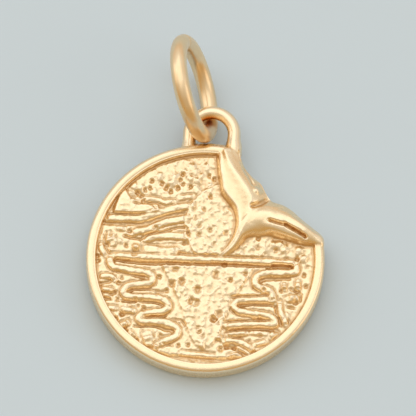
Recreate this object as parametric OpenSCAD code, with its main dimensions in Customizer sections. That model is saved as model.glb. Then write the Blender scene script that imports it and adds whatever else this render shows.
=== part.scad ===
// Round cast charm with a whale's tail, sun, clouds and sea in relief, and its jump ring.
// Millimetres. The charm is drawn in its own plane, centre of the disc at the origin, loop
// towards +Y and front face towards +Z, and is then laid down as it rests: on the lower edge
// of the disc and on the jump ring, which runs under the loop and holds it off the surface.

/* [Disc] */
// Radius of the disc
disc_r = 5.33; // [5.2:0.01:5.4]
// Height of the sunk field above the back
field_h = 0.8; // [0.7:0.05:0.9]
// Width of the round-topped rim
rim_w = 0.45; // [0.35:0.05:0.5]
// Height at which the rim's round top begins
rim_h = 0.93; // [0.9:0.01:0.95]
// Bevel of the back edge
bevel = 0.18; // [0.1:0.02:0.24]

/* [Relief] */
// Height of a cloud or wave line above the field
line_h = 0.22; // [0.12:0.02:0.3]
// Width of a cloud or wave line
line_w = 0.24; // [0.16:0.02:0.3]
// Height of the sun and its path on the sea above the field
glow_h = 0.1; // [0.06:0.02:0.14]
// Radius of the sun
sun_r = 1.95; // [1.6:0.05:2.1]
// Thickness of the tail's outer edge
edge_t = 0.8; // [0.6:0.05:0.9]
// Depth by which the tail stands out of the back
back_relief = 0.22; // [0.1:0.02:0.3]

/* [Loop] */
// Radius of the cast loop's bar
bar_r = 0.29; // [0.25:0.01:0.3]
// Radius of the loop's arch, to the middle of its bar
loop_r = 1; // [0.95:0.01:1.02]
// Height of the arch's centre above the disc's centre
loop_y = 5.96; // [5.95:0.01:5.98]
// Height of the middle of the bar above the back
loop_h = 0.6; // [0.58:0.01:0.62]

/* [Jump ring] */
// Outer diameter of the ring
ring_d = 5; // [4.96:0.01:5.02]
// Thickness of its wire
wire_d = 0.75; // [0.7:0.01:0.76]
// Gap where the wire's two cut ends meet
cut_gap = 0.05; // [0.03:0.01:0.1]

/* [Lying pose] */
// Slope of the disc, with its loop end up on the ring
tilt = 3.5; // [3.4:0.05:3.6]
// Slope of the ring's plane against the surface
ring_lean = 71; // [70:0.5:72]
// Turn of the ring's long axis from +Y
ring_turn = 10; // [9.5:0.25:10.5]
// Sideways place of the ring's centre
ring_x = -0.9; // [-0.94:0.01:-0.86]
// Distance of the ring's centre from the disc's centre
ring_y = 7.61; // [7.6:0.01:7.62]

/* [Hidden] */
gold = [0.93, 0.78, 0.5];
eps = 0.01;

// The middle of the disc's rim, and the radius on which its bevelled back edge rests
rim_mid = disc_r - rim_w / 2;
rest_r = disc_r - bevel;

// Jump ring: radius to the middle of the wire, and half its length seen along Y
wire_r = wire_d / 2;
ring_r = ring_d / 2 - wire_r;
ring_reach = wire_r + ring_r * sqrt(pow(cos(ring_turn), 2) + pow(sin(ring_turn) * cos(ring_lean), 2));

// The charm lies with the middle of its whole length on the origin
low_y = -disc_r * cos(tilt) - rim_h * sin(tilt);
frame_y = -(low_y + ring_y + ring_reach) / 2;

// Cut-away edge of the disc round the flukes, from the right tip over the notch to the loop: x, y
fluke_edge = [
    [5.15, 1.32], [4.64, 1.72], [4.17, 2.08], [3.77, 2.42], [3.33, 2.67], [2.83, 2.82],
    [2.56, 3.17], [2.33, 3.61], [1.98, 3.93], [1.63, 4.33], [1.36, 4.95]
];
// A corner well outside the disc, from which its cut-away edge is taken
far = 8;

// Half-leaf sections of the tail: inner edge x, y; crest x, y; outer edge x, y; crest height
left_fluke = [
    [0.40, 4.86, 0.66, 4.97, 0.95, 5.08, 1.14],
    [0.40, 4.30, 1.00, 4.32, 1.58, 4.38, 1.34],
    [0.42, 3.75, 1.32, 3.80, 2.02, 3.88, 1.42],
    [0.66, 3.12, 1.68, 3.27, 2.42, 3.42, 1.48],
    [0.95, 2.70, 1.92, 2.80, 2.74, 2.90, 1.48],
    [1.22, 2.25, 1.95, 2.30, 2.60, 2.45, 1.44],
    [1.28, 1.85, 1.80, 1.90, 2.30, 1.95, 1.40]
];
right_fluke = [
    [1.62, 1.15, 1.80, 1.95, 2.45, 2.76, 1.40],
    [2.15, 1.33, 2.55, 2.10, 2.90, 2.76, 1.46],
    [2.80, 1.35, 3.18, 2.00, 3.45, 2.58, 1.44],
    [3.40, 1.16, 3.70, 1.74, 3.98, 2.22, 1.38],
    [4.00, 0.94, 4.20, 1.42, 4.43, 1.86, 1.30],
    [4.60, 0.84, 4.72, 1.14, 4.88, 1.50, 1.22],
    [4.98, 0.86, 5.03, 1.04, 5.10, 1.28, 1.14]
];
tail_stem = [
    [1.27, 1.98, 1.72, 1.85, 2.25, 1.42, 1.40],
    [1.26, 1.50, 1.48, 1.35, 1.72, 1.12, 1.34],
    [1.04, 0.95, 1.24, 0.86, 1.46, 0.68, 1.24],
    [0.72, 0.38, 0.92, 0.28, 1.14, 0.16, 1.12]
];
// Slit along the right fluke: x, y
slit = [[2.90, 1.78], [3.40, 1.68], [3.80, 1.47], [4.20, 1.24], [4.50, 1.08]];
slit_w = 0.1;
slit_depth = 0.14;

// Centre of the sun: x, y; and the half width of its path on the sea at each height: y, half width
sun_at = [1.0, 1.6];
path_x = 0.1;
path_rows = [[-0.35, 2.0], [-1.3, 1.45], [-2.3, 1.0], [-3.4, 0.65], [-4.0, 0.3]];

// Line where the sea meets the sky: x, y
horizon = [[-4.15, -0.06], [-2.0, -0.03], [0.0, 0.0], [2.0, 0.03], [4.05, 0.06]];

// Cloud lines: x, y
clouds = [
    [[-4.15, 1.75], [-3.0, 1.80], [-2.0, 2.06], [-1.45, 2.26]],
    [[-3.2, 1.07], [-2.7, 1.28], [-1.8, 1.64], [-0.95, 1.83]],
    [[-2.6, 0.86], [-2.0, 1.02], [-1.2, 1.04]],
    [[-2.5, 0.44], [-1.2, 0.54]],
    [[-3.15, 2.73], [-2.3, 2.74], [-1.6, 2.64]],
    [[-2.2, 2.36], [-1.5, 2.5], [-0.8, 2.48]],
    [[-1.55, 2.92], [-0.85, 2.86]],
    [[-4.05, 0.75], [-4.0, 0.5], [-4.1, 0.25]]
];
// Broad cloud above the longest line: x, y
cloud_bank = [
    [-4.15, 2.0], [-2.75, 2.02], [-2.2, 2.15], [-2.3, 2.35], [-3.1, 2.46],
    [-3.5, 2.6], [-3.75, 3.0], [-3.95, 2.75]
];
// Puffs of cloud: x, y, radius
puffs = [
    [-3.0, 3.32, 0.24], [-2.35, 3.9, 0.26], [-2.45, 3.12, 0.2], [-1.7, 3.95, 0.26],
    [-1.05, 4.36, 0.28], [-1.9, 3.5, 0.2], [-1.3, 3.7, 0.2], [-0.6, 4.2, 0.2],
    [-0.9, 3.5, 0.2], [-0.3, 3.8, 0.2], [-0.5, 3.1, 0.2], [0.1, 3.3, 0.18]
];

// Wave lines: x, y
waves = [
    [[-4.15, -0.3], [-4.0, -0.55], [-3.2, -0.62], [-2.4, -0.72], [-2.2, -0.98], [-2.45, -1.24],
     [-3.1, -1.3], [-3.55, -1.6], [-3.35, -1.84], [-2.9, -1.92], [-1.95, -1.92], [-1.5, -2.28],
     [-1.75, -2.54], [-2.3, -2.57], [-2.78, -2.82], [-2.4, -3.08], [-1.65, -3.1], [-1.1, -3.22],
     [-0.87, -3.5], [-1.2, -3.76], [-1.65, -3.85]],
    [[-4.5, -1.02], [-4.0, -1.04]],
    [[-4.5, -1.55], [-4.15, -1.56]],
    [[-3.9, -2.4], [-3.0, -2.45]],
    [[-3.65, -3.1], [-3.3, -3.0]],
    [[4.0, 0.02], [4.18, -0.2], [4.0, -0.42], [2.9, -0.47], [2.3, -0.6], [2.18, -0.92],
     [2.5, -1.2], [2.95, -1.26], [3.1, -1.5]],
    [[2.9, -1.78], [1.6, -1.84], [1.38, -2.08], [1.7, -2.36], [2.4, -2.4], [3.0, -2.46],
     [3.28, -2.72], [2.9, -2.98], [1.1, -3.04]],
    [[1.15, -3.38], [1.9, -3.4], [2.7, -3.15], [3.5, -2.95]],
    [[0.9, -3.75], [1.6, -3.82], [2.1, -4.2]],
    [[2.25, -4.0], [3.0, -3.45]],
    [[3.55, -1.95], [3.75, -2.5]],
    [[3.75, -1.3], [4.2, -1.3], [4.3, -1.65], [4.1, -1.75]],
    [[-0.6, -4.44], [0.2, -4.48], [0.8, -4.44]]
];
// Foam under the right fluke: x, y
foam = [[1.5, 0.7], [2.0, 0.9], [2.6, 0.97], [3.3, 0.76], [3.75, 0.5]];

// Points of a smooth curve through p, with n steps from each point to the next
function span(a, b, c, d, t) =
    0.5 * (2 * b + (c - a) * t + (2 * a - 5 * b + 4 * c - d) * t * t + (3 * b - a - 3 * c + d) * t * t * t);
function at(p, i) = p[max(0, min(len(p) - 1, i))];
function smooth(p, n) = [
    for (i = [0 : len(p) - 2], k = [0 : n - 1]) span(at(p, i - 1), p[i], p[i + 1], at(p, i + 2), k / n),
    p[len(p) - 1]
];

// Outline of a line of width w that follows p, pointed a little at both ends
function ahead(p, i) = at(p, i + 1) - at(p, i - 1);
function side(p, i) = [-ahead(p, i)[1], ahead(p, i)[0]] / norm(ahead(p, i));
function tip(p, i, w) = ahead(p, i) / norm(ahead(p, i)) * w / 2;
function ribbon(p, w) = concat(
    [p[0] - tip(p, 0, w)],
    [for (i = [0 : len(p) - 1]) p[i] - side(p, i) * w / 2],
    [p[len(p) - 1] + tip(p, len(p) - 1, w)],
    [for (i = [len(p) - 1 : -1 : 0]) p[i] + side(p, i) * w / 2]
);

// A raised line on the field
module line(p, w, h) {
    translate([0, 0, field_h - eps])
        linear_extrude(height = h + eps)
            polygon(ribbon(len(p) > 2 ? smooth(p, 2) : p, w));
}

// Flat shape of the disc, drawn in by an amount all round
module disc_shape(inset) {
    difference() {
        circle(r = disc_r - inset, $fn = 120);
        translate([-inset, -inset] / sqrt(2))
            polygon(concat(fluke_edge, [[fluke_edge[len(fluke_edge) - 1][0], far], [far, far],
                [far, fluke_edge[0][1]]]));
    }
}

// Bevelled plate of the disc
module plate() {
    linear_extrude(height = bevel + eps)
        disc_shape(bevel);
    translate([0, 0, bevel])
        linear_extrude(height = field_h - bevel)
            disc_shape(0);
}

// Round-topped rim, from beside the loop round to the tip of the right fluke
module rim() {
    rotate([0, 0, 84])
        rotate_extrude(angle = 287, $fn = 120)
            translate([rim_mid, 0]) {
                translate([-rim_w / 2, field_h - 0.1])
                    square([rim_w, rim_h - field_h + 0.1]);
                translate([0, rim_h])
                    circle(d = rim_w, $fn = 24);
            }
}

// One row of the tail as a closed ring of seven points, front crest and back crest
function tail_section(r) = let (mid = field_h / 2, up = r[6] - mid, down = mid + back_relief) [
    [r[0], r[1], mid],
    [r[0] * 0.8 + r[2] * 0.2, r[1] * 0.8 + r[3] * 0.2, mid + up * 0.88],
    [r[2], r[3], mid + up],
    [r[4], r[5], mid + edge_t / 2 + 0.12],
    [r[4], r[5], mid - edge_t / 2 + 0.2],
    [r[2], r[3], mid - down],
    [r[0] * 0.8 + r[2] * 0.2, r[1] * 0.8 + r[3] * 0.2, mid - down * 0.85]
];

// A solid lofted through the rows of the tail, skinned with triangles
module leaf(rows) {
    k = 7;
    last = (len(rows) - 1) * k;
    skin = [
        for (a = [0 : last - 1]) let (b = a % k == k - 1 ? a - k + 1 : a + 1)
            each [[a, b, a + k], [b, b + k, a + k]]
    ];
    caps = [for (j = [1 : k - 2]) each [[j + 1, j, 0], [last + j, last + j + 1, last]]];
    polyhedron(points = [for (r = rows) each tail_section(r)], faces = concat(skin, caps));
}

// Both flukes and the stem, with the slit cut into the front and the back
module tail() {
    difference() {
        union() {
            leaf(left_fluke);
            leaf(right_fluke);
            leaf(tail_stem);
        }
        for (z = [field_h + 0.45 - slit_depth, -back_relief - 0.5 + slit_depth])
            translate([0, 0, z])
                linear_extrude(height = 0.5)
                    polygon(ribbon(smooth(slit, 2), slit_w));
    }
}

// Sun behind the tail, and its path on the sea
module glow() {
    translate([0, 0, field_h - eps])
        linear_extrude(height = glow_h + eps) {
            intersection() {
                translate(sun_at)
                    circle(r = sun_r, $fn = 72);
                translate([-1.2, 0.2])
                    square([3.2, 3.2]);
            }
            polygon(concat([for (r = path_rows) [path_x - r[1], r[0]]],
                [for (i = [len(path_rows) - 1 : -1 : 0]) [path_x + path_rows[i][1], path_rows[i][0]]]));
        }
}

// Clouds: lines, the broad bank and the puffs
module sky() {
    for (p = clouds)
        line(p, line_w, line_h);
    translate([0, 0, field_h - eps])
        linear_extrude(height = line_h * 0.8 + eps)
            polygon(cloud_bank);
    for (p = puffs)
        translate([p[0], p[1], field_h])
            sphere(r = p[2], $fn = 24);
}

// Sea: the horizon, the waves and the foam by the tail
module sea() {
    line(horizon, line_w, line_h);
    line(foam, line_w * 0.7, line_h * 0.7);
    for (p = waves)
        line(p, line_w, line_h);
}

// Cast loop: an arch on two legs that run into the disc
module loop() {
    translate([0, loop_y, loop_h]) {
        rotate_extrude(angle = 180, $fn = 72)
            translate([loop_r, 0])
                circle(r = bar_r, $fn = 24);
        for (s = [-1, 1])
            translate([s * loop_r, 0, 0])
                rotate([90, 0, 0])
                    cylinder(r = bar_r, h = loop_y - rim_mid + 0.15, $fn = 24);
    }
}

// Puts the charm's own plane down as it rests
module laid() {
    translate([0, frame_y, rest_r * sin(tilt)])
        rotate([tilt, 0, 0])
            children();
}

module medallion() {
    color(gold)
        laid() {
            plate();
            rim();
            tail();
            glow();
            sky();
            sea();
            loop();
        }
}

// Round wire ring, leaning on the surface, with its cut ends a hair apart at the top
module jump_ring() {
    cut_angle = cut_gap / ring_r * 180 / PI;
    color(gold)
        translate([ring_x, ring_y + frame_y, wire_r + ring_r * sin(ring_lean)])
            rotate([0, 0, ring_turn])
                rotate([0, ring_lean, 0])
                    rotate([0, 0, 115 + cut_angle / 2])
                        rotate_extrude(angle = 360 - cut_angle, $fn = 96)
                            translate([ring_r, 0])
                                circle(r = wire_r, $fn = 32);
}

medallion();
jump_ring();
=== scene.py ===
import math

import bpy
import numpy as np
from mathutils import Matrix, Vector
from mathutils.geometry import delaunay_2d_cdt


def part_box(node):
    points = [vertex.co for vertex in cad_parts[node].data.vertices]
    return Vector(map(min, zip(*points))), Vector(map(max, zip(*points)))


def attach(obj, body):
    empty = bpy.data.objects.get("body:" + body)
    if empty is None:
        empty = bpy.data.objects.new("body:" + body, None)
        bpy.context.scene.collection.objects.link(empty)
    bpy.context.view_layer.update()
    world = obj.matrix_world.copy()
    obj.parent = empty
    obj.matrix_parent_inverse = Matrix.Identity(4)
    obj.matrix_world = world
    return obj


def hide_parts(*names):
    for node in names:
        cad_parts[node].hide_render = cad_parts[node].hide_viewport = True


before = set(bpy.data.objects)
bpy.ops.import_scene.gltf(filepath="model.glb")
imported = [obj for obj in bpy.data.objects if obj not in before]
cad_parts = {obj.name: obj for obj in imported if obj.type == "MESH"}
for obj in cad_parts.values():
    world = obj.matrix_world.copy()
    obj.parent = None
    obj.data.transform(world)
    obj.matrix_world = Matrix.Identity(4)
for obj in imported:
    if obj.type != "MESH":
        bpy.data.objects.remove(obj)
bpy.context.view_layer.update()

# The surface
# A matt sheet of pale blue-grey card, far larger than the charm, lies under it on the bench.
# The charm is laid on it loose, so nothing fixes the two together.

MM = 0.001
SHEET_SIZE = 1.0
SHEET_COLOUR = (0.625, 0.732, 0.816)
DUSKIER = 0.985


class Socket:
    """An output of a node. Python's operators on it add Math nodes to its tree."""

    def __init__(self, graph, socket):
        self.graph, self.socket = graph, socket

    def also(self, name):
        """Another output of the same node."""
        return Socket(self.graph, self.socket.node.outputs[name])

    def part(self, axis):
        """One coordinate of a vector."""
        return self.graph.node("ShaderNodeSeparateXYZ", None, {0: self}, axis)

    def math(self, operation, *others):
        values = dict(enumerate([self, *others]))
        return self.graph.node("ShaderNodeMath", {"operation": operation}, values)

    def __add__(self, other):
        return self.math("ADD", other)

    def __sub__(self, other):
        return self.math("SUBTRACT", other)

    def __rsub__(self, other):
        return self.graph.node("ShaderNodeMath", {"operation": "SUBTRACT"}, {0: other, 1: self})

    def __mul__(self, other):
        return self.math("MULTIPLY", other)

    def __truediv__(self, other):
        return self.math("DIVIDE", other)

    __radd__ = __add__
    __rmul__ = __mul__


class Graph:
    """A tree of shader or geometry nodes."""

    def __init__(self, tree):
        self.tree = tree

    def feed(self, node, inputs):
        """Gives a node's inputs their values or their links."""
        for name, value in inputs.items():
            if isinstance(value, Socket):
                self.tree.links.new(value.socket, node.inputs[name])
            else:
                node.inputs[name].default_value = value

    def node(self, kind, settings=None, inputs=None, output=0):
        """Adds a node, its settings before its inputs, and returns one of its outputs if it has any."""
        made = self.tree.nodes.new(kind)
        for name, value in (settings or {}).items():
            setattr(made, name, value)
        self.feed(made, inputs or {})
        return Socket(self, made.outputs[output]) if made.outputs else None

    def vector(self, operation, *values):
        """Vector Math on sockets or plain vectors."""
        return self.node("ShaderNodeVectorMath", {"operation": operation}, dict(enumerate(values)))

    def noise(self, spot, scale, detail, output=0, **more):
        """A noise texture, read at spot."""
        inputs = {"Vector": spot, "Scale": scale, "Detail": detail, **more}
        return self.node("ShaderNodeTexNoise", None, inputs, output)

    def fade(self, value, low, high):
        """0 up to low, 1 from high, and a smooth step between."""
        ends = {"Value": value, "From Min": low, "From Max": high}
        return self.node("ShaderNodeMapRange", {"interpolation_type": "SMOOTHSTEP"}, ends)

    def mix(self, share, first, second):
        """A colour between two colours."""
        inputs = {0: share, 6: first, 7: second}
        return self.node("ShaderNodeMix", {"data_type": "RGBA"}, inputs, output=2)


def new_material(name):
    """A material with only a Principled BSDF in it, and the graph of its nodes."""
    material = bpy.data.materials.new(name)
    material.use_nodes = True
    graph = Graph(material.node_tree)
    return material, graph, material.node_tree.nodes["Principled BSDF"]


def colour(red, green, blue):
    return (red, green, blue, 1.0)


def linked_mesh(name, points, edges=(), faces=()):
    mesh = bpy.data.meshes.new(name)
    mesh.from_pydata(points, edges, faces)
    made = bpy.data.objects.new(name, mesh)
    bpy.context.scene.collection.objects.link(made)
    return made


half_sheet = SHEET_SIZE / 2
sheet_corners = [(-half_sheet, -half_sheet, 0), (half_sheet, -half_sheet, 0),
                 (half_sheet, half_sheet, 0), (-half_sheet, half_sheet, 0)]
sheet = linked_mesh("card_sheet", sheet_corners, faces=[(0, 1, 2, 3)])
card, graph, shader = new_material("pale_card")
place = graph.node("ShaderNodeTexCoord", output="Object")
fibre = graph.noise(place, 900.0, 4.0)
cloudy = graph.noise(place, 9.0, 1.0)
tone = graph.mix(cloudy, colour(*(c * DUSKIER for c in SHEET_COLOUR)), colour(*SHEET_COLOUR))
bump = graph.node("ShaderNodeBump", None, {"Strength": 0.12, "Distance": 0.04 * MM, "Height": fibre})
graph.feed(shader, {"Base Color": tone, "Normal": bump, "Roughness": 0.75, "Specular IOR Level": 0.25})
sheet.data.materials.append(card)

# Light and camera
# A large soft box hangs over the bench and reaches far behind the charm, with a smaller one on
# each side. The near side of the room is left dim and warm. The camera looks down from there,
# steeply but not straight down.

CAMERA_RISE = math.radians(69)
CAMERA_ROLL = math.radians(3)
CAMERA_REACH = 0.3
VIEW_WIDTH = 0.0186
VIEW_CENTRE = Vector((0.0, -0.0001, 0.0015))
SENSOR = 36.0
NEAR_FLOOR = colour(0.58, 0.375, 0.145)
NEAR_WALL = colour(0.58, 0.475, 0.325)
FAR_FLOOR = colour(0.78, 0.62, 0.49)
FAR_WALL = colour(0.85, 0.85, 0.84)


def soft_box(name, spot, aim, size, brightness, tint):
    """A rectangular area light at spot, facing aim. Its face looks as bright as white card at 1."""
    lamp = bpy.data.lights.new(name, "AREA")
    lamp.shape, lamp.size, lamp.size_y = "RECTANGLE", size[0], size[1]
    lamp.energy, lamp.color = brightness * math.pi * size[0] * size[1], tint
    made = bpy.data.objects.new(name, lamp)
    made.location = spot
    made.rotation_euler = (Vector(aim) - Vector(spot)).to_track_quat("-Z", "Y").to_euler()
    bpy.context.scene.collection.objects.link(made)


soft_box("overhead_box", (-0.08, 0.16, 0.42), (0.0, 0.02, 0.0), (0.6, 0.5), 0.5, (1.0, 0.985, 0.955))
soft_box("left_box", (-0.5, 0.1, 0.25), (0.0, 0.0, 0.0), (0.35, 0.4), 0.44, (1.0, 0.985, 0.955))
soft_box("right_box", (0.48, -0.05, 0.27), (0.0, 0.0, 0.0), (0.34, 0.34), 0.6, (1.0, 0.95, 0.88))

world = bpy.data.worlds.new("bench_room")
world.use_nodes = True
bpy.context.scene.world = world
room = Graph(world.node_tree)
direction = room.node("ShaderNodeTexCoord", output="Generated")
ahead, height = direction.part("Y"), direction.part("Z")
near = room.mix(room.fade(height, 0.25, 0.7), NEAR_FLOOR, NEAR_WALL)
wall_tone = room.mix(room.fade(ahead * 0.8 + height * 0.5, -0.35, 0.85), near, FAR_WALL)
far_low = room.fade(ahead, 0.3, 0.8) * (1 - room.fade(height, 0.1, 0.55))
wall_tone = room.mix(far_low, wall_tone, FAR_FLOOR)
room.feed(world.node_tree.nodes["Background"], {"Color": wall_tone, "Strength": 1.0})

lens_frame = bpy.data.cameras.new("bench_camera")
lens_frame.sensor_width = SENSOR
lens_frame.lens = SENSOR * CAMERA_REACH / VIEW_WIDTH
camera = bpy.data.objects.new("bench_camera", lens_frame)
back_off = Vector((0, -math.cos(CAMERA_RISE), math.sin(CAMERA_RISE)))
camera.location = VIEW_CENTRE + CAMERA_REACH * back_off
level = (-back_off).to_track_quat("-Z", "Y").to_matrix()
camera.rotation_euler = (level @ Matrix.Rotation(CAMERA_ROLL, 3, "Z")).to_euler()
bpy.context.scene.collection.objects.link(camera)
bpy.context.scene.camera = camera
bpy.context.scene.view_settings.view_transform = "Standard"

# Medallion: how it lies
# The casting rests on the lower edge of its disc, with the loop end held up by the jump ring.
# It is drawn in millimetres in its own plane, loop towards +Y and face up, and is then laid down.

TILT = math.radians(3.5)
RIM_W = 0.45
RIM_H = 0.93
FIELD_H = 0.8
BEVEL = 0.18
low, high = (Vector(corner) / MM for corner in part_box("medallion"))
disc_r = min(-low.x, high.x)
disc_y = low.y + disc_r * math.cos(TILT) + RIM_H * math.sin(TILT)
lift = (disc_r - BEVEL) * math.sin(TILT)
laid = Matrix.Scale(MM, 4) @ Matrix.Translation((0, disc_y, lift)) @ Matrix.Rotation(TILT, 4, "X")

# Medallion: blank
# The outline is a round disc whose upper right edge is cut away along the whale's flukes.
# Front and back are fine nets of points, closer at the edge, joined by the side wall.

STEP = 0.047
BACK_STEP = 0.07
BACK_BEVEL = BEVEL * 1.2
ROW_SPACING = 0.866
# Rings of points in front, closest at the edge and down the rim's inner side.
FRONT_INSETS = [0.006, 0.024, 0.052, 0.09, 0.13, 0.17, 0.21, 0.25, 0.285, 0.315, 0.34, 0.362, 0.382,
                0.402, 0.422, 0.442, 0.462, 0.49]
# Rows of points on the side wall, which runs from -1 at the back to 1 in front.
WALL_ROWS = [0.6, 0.2, -0.2, -0.6]
NOTCH_START = (5.26, 1.05)
NOTCH_EDGE = [(5.15, 1.32), (4.64, 1.72), (4.17, 2.08), (3.77, 2.42), (3.33, 2.67), (2.83, 2.82),
              (2.56, 3.17), (2.31, 3.60), (1.93, 3.90), (1.56, 4.31), (1.30, 4.95)]


def smooth(points, step=None, parts=None):
    """A smooth curve through the points, in steps of about one length or in even parts between two."""
    p = np.array(points, float)
    p = np.vstack([2 * p[0] - p[1], p, 2 * p[-1] - p[-2]])
    made = []
    for a, b, c, d in zip(p[:-3], p[1:-2], p[2:-1], p[3:]):
        count = parts or max(1, round(float(np.linalg.norm(c[:2] - b[:2])) / step))
        t = (np.arange(count) / count)[:, None]
        made.append(0.5 * (2 * b + (c - a) * t + (2 * a - 5 * b + 4 * c - d) * t**2
                           + (3 * b - a - 3 * c + d) * t**3))
    return np.vstack([*made, p[-2]])


def disc_outline():
    """The disc's outline, counterclockwise, as points about one step apart."""
    first = math.acos(NOTCH_EDGE[-1][0] / disc_r)
    last = 2 * math.pi + math.asin(NOTCH_EDGE[0][1] / disc_r) - 0.1
    count = round(disc_r * (last - first) / STEP)
    turn = np.linspace(first, last, count)
    arc = np.column_stack([np.cos(turn), np.sin(turn)]) * disc_r
    cut = smooth([tuple(arc[-1]), NOTCH_START, *NOTCH_EDGE, tuple(arc[0])], STEP)
    return np.vstack([arc, cut[1:-1]])


def inward(loop):
    """The unit normals of a counterclockwise loop, pointing in."""
    along = np.roll(loop, -1, 0) - np.roll(loop, 1, 0)
    along /= np.linalg.norm(along, axis=1)[:, None]
    return np.column_stack([-along[:, 1], along[:, 0]])


def gap_to(loop, points):
    """Each point's distance to the nearest side of a closed loop."""
    best = np.full(len(points), 1e9)
    for a, b in zip(loop, np.roll(loop, -1, 0)):
        t = np.clip((points - a) @ (b - a) / ((b - a) @ (b - a)), 0, 1)
        best = np.minimum(best, np.linalg.norm(points - a - t[:, None] * (b - a), axis=1))
    return best


def within(loop, points):
    """Which of the points lie inside a closed loop."""
    found = np.zeros(len(points), bool)
    for (ax, ay), (bx, by) in zip(loop, np.roll(loop, -1, 0)):
        if ay != by:
            crossed = (ay > points[:, 1]) != (by > points[:, 1])
            found ^= crossed & (points[:, 0] < (bx - ax) * (points[:, 1] - ay) / (by - ay) + ax)
    return found


def net(outline, insets, step):
    """A triangulated sheet inside the outline: rings at the insets, then a grid of even triangles."""
    rings = [outline]
    for inset in insets:
        ring = outline + inward(outline) * inset
        rings.append(ring[gap_to(outline, ring) > inset * 0.97])
    across, tall = math.ceil(disc_r / step), math.ceil(disc_r / step * 1.2)
    i, j = np.meshgrid(np.arange(-across, across + 1), np.arange(-tall, tall))
    grid = np.column_stack([((i + 0.5 * (j % 2)) * step).ravel(), (j * step * ROW_SPACING).ravel()])
    inner = insets[-1] + step * 0.7
    grid = grid[within(outline, grid) & (gap_to(outline, grid) > inner)]
    spots = [tuple(p) for p in np.vstack([*rings, grid])]
    border = [list(range(len(outline)))]
    found = delaunay_2d_cdt(spots, [], border, 1, 1e-7, False)
    made, triangles = np.array([tuple(p) for p in found[0]]), np.array(found[2])
    return made, triangles[within(outline, made[triangles].mean(axis=1))]


def give(piece, name, values):
    """Stores one number for each point of a piece."""
    piece.data.attributes.new(name, "FLOAT", "POINT").data.foreach_set("value", values)


outline = disc_outline()
bead = RIM_W / 2
front, front_faces = net(outline, FRONT_INSETS, STEP)
back_insets = [BACK_BEVEL * (1 - math.cos(math.pi / 2 * k / 5)) for k in range(1, 6)]
back, back_faces = net(outline, back_insets, BACK_STEP)
count = len(outline)
walls = np.vstack([outline] * len(WALL_ROWS))
plan = np.vstack([front, back, walls])
side = np.concatenate([np.ones(len(front)), -np.ones(len(back)), np.repeat(WALL_ROWS, count)])
ring_starts = [0, *(len(front) + len(back) + count * k for k in range(len(WALL_ROWS))), len(front)]
faces = [tuple(f) for f in front_faces] + [tuple(f[::-1] + len(front)) for f in back_faces]
for upper, lower in zip(ring_starts, ring_starts[1:]):
    for k in range(count):
        n = (k + 1) % count
        faces.append((upper + k, lower + k, lower + n, upper + n))
blank = linked_mesh("medallion_blank", [(x, y, 0) for x, y in plan], faces=faces)
give(blank, "side", side)

# Medallion: lines of the sky and the sea
# The maker's model had the picture cut into it by hand: raised lines for cloud and wave, cut lines
# beside them, domed puffs of cloud, and small pits. Each row: height or depth, half width, points.

FINE = 0.04
END_SHARE = 0.45
# The marks were read off the photo. Scratch programs that compared a render with the photo then
# moved the points, mostly by less than 0.2, and scaled the heights, so the last digits are theirs.
# Later pits and puffs were added one by one where a comparison listed dark and light dots.
SKY_LINES = [
    (0.094, 0.17, [(-4.48, 1.68), (-3.71, 1.71), (-3.13, 1.74), (-2.59, 1.88), (-2.10, 2.09),
                   (-1.63, 2.25), (-1.19, 2.38), (-0.76, 2.45)]),
    (0.102, 0.17, [(-3.33, 1.05), (-3.04, 1.14), (-2.65, 1.23), (-2.29, 1.41), (-1.88, 1.61),
                   (-1.39, 1.75), (-0.97, 1.84)]),
    (0.098, 0.17, [(-2.72, 0.79), (-2.10, 0.96), (-1.46, 1.00), (-0.96, 0.98)]),
    (0.110, 0.20, [(-2.62, 0.34), (-1.80, 0.26), (-1.33, 0.33)]),
    (0.076, 0.13, [(-3.28, 2.60), (-2.85, 2.66), (-2.27, 2.65), (-1.96, 2.57), (-1.55, 2.61)]),
    (0.057, 0.12, [(-1.26, 2.81), (-0.70, 2.90)]),
    (0.076, 0.13, [(-4.71, 0.41), (-4.60, 0.14), (-4.43, -0.05)]),
    (0.065, 0.12, [(-3.93, 1.23), (-3.69, 1.23)]),
    (0.120, 0.24, [(-4.28, 0.80), (-4.22, 0.60)]),
]
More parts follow.
